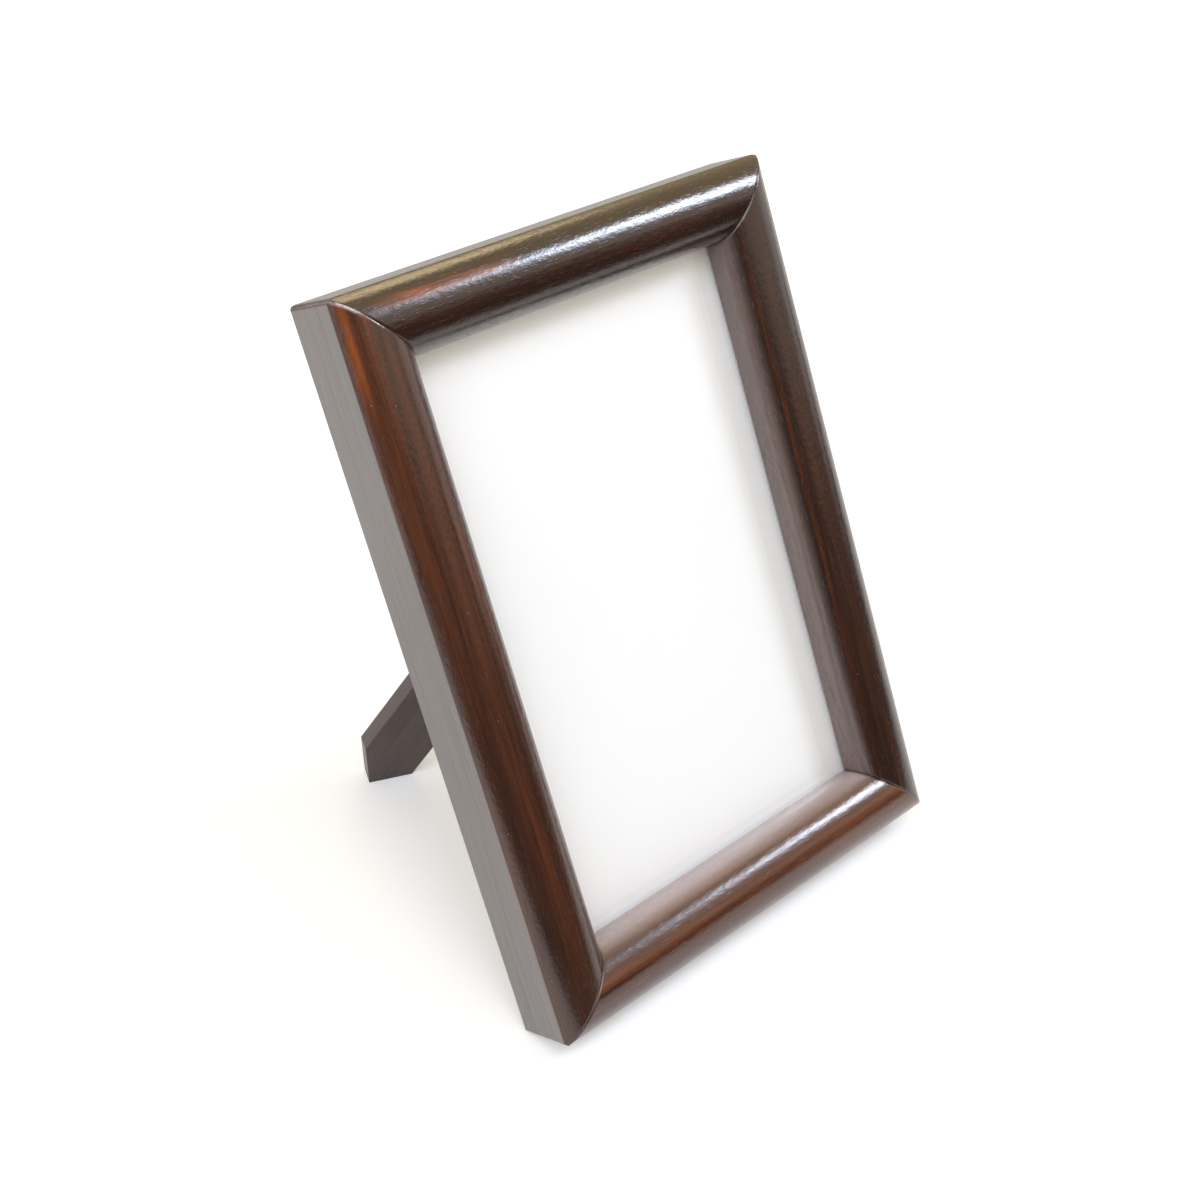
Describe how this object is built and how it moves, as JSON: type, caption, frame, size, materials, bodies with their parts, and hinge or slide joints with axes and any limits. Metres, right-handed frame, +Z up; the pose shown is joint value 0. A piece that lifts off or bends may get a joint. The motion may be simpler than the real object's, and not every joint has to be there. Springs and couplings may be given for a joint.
{
  "type": "easel back photo frame",
  "caption": "Tabletop photo frame with a rounded hardwood moulding, glazed front, turn-button back and a slanted hinged easel leg that props it upright or on its side.",
  "frame": {"origin": "on the table, in the middle of the bounding box of the footprint, with the frame standing upright on its leg", "axes": "+Z up, +X to the viewer's right along the bottom rail, +Y away from the viewer; the frame leans back 28.3 degrees towards +Y"},
  "size_m": [0.131, 0.1146, 0.1666],
  "materials": {
    "rail_wood": "dark mahogany, satin lacquer",
    "leg_wood": "dark mahogany, thin satin lacquer",
    "picture_glass": "clear float glass",
    "print_paper": "plain white photo paper",
    "grey_card": "grey pulp board",
    "back_board_panel": "stained hardboard",
    "hinge_brass": "brass plated, lightly aged",
    "pin_steel": "bright drawn wire",
    "button_brass": "stamped brass, lightly aged",
    "screw_brass": "turned brass",
    "nail_steel": "bare steel"
  },
  "bodies": {
    "frame": {"bottom_rail": "rail_wood", "right_stile": "rail_wood", "top_rail": "rail_wood", "left_stile": "rail_wood", "glazing": "picture_glass", "blank_print": "print_paper", "backing_card": "grey_card", "back_board": "back_board_panel", "hinge_board_leaf": "hinge_brass", "hinge_pin": "pin_steel", "board_leaf_screw_a": "screw_brass", "board_leaf_screw_b": "screw_brass", "turn_button_screw_bottom": "screw_brass", "turn_button_screw_right": "screw_brass", "turn_button_screw_top": "screw_brass", "turn_button_screw_left": "screw_brass", "v_nail_bottom_left_outer": "nail_steel", "v_nail_bottom_left_inner": "nail_steel", "v_nail_bottom_right_outer": "nail_steel", "v_nail_bottom_right_inner": "nail_steel", "v_nail_top_right_outer": "nail_steel", "v_nail_top_right_inner": "nail_steel", "v_nail_top_left_outer": "nail_steel", "v_nail_top_left_inner": "nail_steel"},
    "leg": {"easel_leg": "leg_wood", "hinge_leg_leaf": "hinge_brass", "leg_leaf_screw_a": "screw_brass", "leg_leaf_screw_b": "screw_brass"},
    "button_bottom": {"turn_button_bottom": "button_brass"},
    "button_right": {"turn_button_right": "button_brass"},
    "button_top": {"turn_button_top": "button_brass"},
    "button_left": {"turn_button_left": "button_brass"}
  },
  "joints": [
    {"name": "leg_hinge", "type": "hinge", "parent": "frame", "child": "leg", "pos_m": [-0.0019, 0.01195, 0.09659], "axis": [0.866, -0.237, -0.4402], "range_deg": [-46, 0]},
    {"name": "button_bottom_swivel", "type": "hinge", "parent": "frame", "child": "button_bottom", "pos_m": [0, -0.03844, 0.00595], "axis": [0, 0.8805, -0.4741], "continuous": true},
    {"name": "button_right_swivel", "type": "hinge", "parent": "frame", "child": "button_right", "pos_m": [0.0585, 0.00114, 0.07947], "axis": [0, 0.8805, -0.4741], "continuous": true},
    {"name": "button_top_swivel", "type": "hinge", "parent": "frame", "child": "button_top", "pos_m": [0, 0.04073, 0.15299], "axis": [0, 0.8805, -0.4741], "continuous": true},
    {"name": "button_left_swivel", "type": "hinge", "parent": "frame", "child": "button_left", "pos_m": [-0.0585, 0.00114, 0.07947], "axis": [0, 0.8805, -0.4741], "continuous": true}
  ]
}
